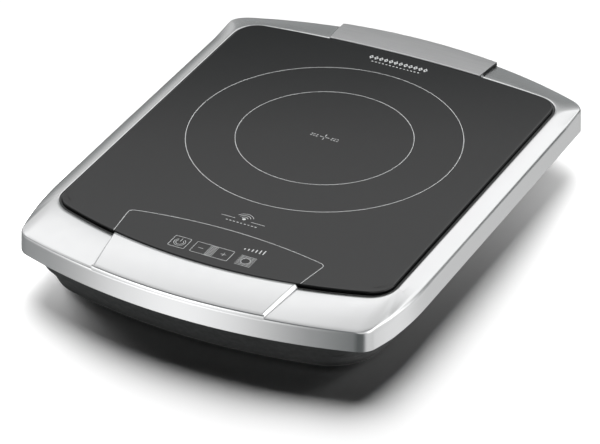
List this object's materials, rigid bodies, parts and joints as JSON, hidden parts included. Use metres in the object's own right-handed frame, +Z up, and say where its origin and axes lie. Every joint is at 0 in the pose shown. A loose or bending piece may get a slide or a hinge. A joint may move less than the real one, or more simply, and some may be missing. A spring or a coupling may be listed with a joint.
{
  "type": "electric induction cooktop",
  "caption": "Portable countertop induction cooktop: dark ceramic glass plate with a printed zone and touch area in a silver frame on a tapered black base with a fan inside.",
  "frame": {"origin": "middle of the footprint, at the undersides of the feet", "axes": "+Z up, +Y towards the rear (away from the touch area), +X to the right seen from the front"},
  "size_m": [0.3212, 0.427, 0.0584],
  "materials": {
    "satin_silver": "satin",
    "brushed_silver": "brushed",
    "ceramic_glass": "polished, opaque dark glass ceramic",
    "black_plastic": "fine texture",
    "black_rubber": "matt",
    "grey_silicone": "matt",
    "zinc_steel": "zinc plated",
    "litz_copper": "enamelled copper wire",
    "ferrite": "sintered ferrite",
    "mica": "pressed mica sheet",
    "aluminium": "mill finish",
    "green_board": "glass-fibre board",
    "component_plastic": "moulded",
    "film_capacitor": "moulded",
    "white_nylon": "moulded",
    "wire_sleeve": "woven sleeve"
  },
  "bodies": {
    "cooktop": {"air_duct": "white_nylon", "base_housing": "black_plastic", "bridge_rectifier": "component_plastic", "cable_gland": "black_rubber", "coil_carrier": "white_nylon", "coil_lead_inner": "wire_sleeve", "coil_lead_outer": "wire_sleeve", "coil_screw_1": "zinc_steel", "coil_screw_2": "zinc_steel", "coil_screw_3": "zinc_steel", "coil_spacer_1": "white_nylon", "coil_spacer_2": "white_nylon", "coil_spacer_3": "white_nylon", "control_board": "green_board", "control_bracket": "black_plastic", "fan_bearing": "zinc_steel", "fan_housing": "black_plastic", "fan_stator": "litz_copper", "ferrite_bar_1": "ferrite", "ferrite_bar_2": "ferrite", "ferrite_bar_3": "ferrite", "ferrite_bar_4": "ferrite", "ferrite_bar_5": "ferrite", "ferrite_bar_6": "ferrite", "filter_capacitor": "film_capacitor", "filter_choke": "litz_copper", "foot_1": "black_rubber", "foot_2": "black_rubber", "foot_3": "black_rubber", "foot_4": "black_rubber", "front_trim": "satin_silver", "glass_plate": "ceramic_glass", "glass_seal": "grey_silicone", "heat_sink": "aluminium", "housing_screw_1": "zinc_steel", "housing_screw_2": "zinc_steel", "housing_screw_3": "zinc_steel", "housing_screw_4": "zinc_steel", "induction_coil": "litz_copper", "led_display": "white_nylon", "mains_fuse": "white_nylon", "mica_sheet": "mica", "power_board": "green_board", "power_transistor": "component_plastic", "rear_trim": "brushed_silver", "resonance_capacitor": "film_capacitor", "ribbon_cable": "wire_sleeve", "shield_plate": "aluminium", "smoothing_capacitor": "film_capacitor", "terminal_block": "white_nylon", "thermistor": "component_plastic", "thermistor_holder": "grey_silicone", "top_frame": "satin_silver", "touch_spring_minus": "zinc_steel", "touch_spring_plus": "zinc_steel", "touch_spring_power": "zinc_steel", "touch_spring_zone": "zinc_steel", "transformer": "component_plastic"},
    "fan": {"fan_rotor": "component_plastic"}
  },
  "joints": [
    {"name": "fan_spin", "type": "hinge", "parent": "cooktop", "child": "fan", "pos_m": [-0.08, -0.112, 0.02], "axis": [0, 0, 1], "continuous": true}
  ]
}
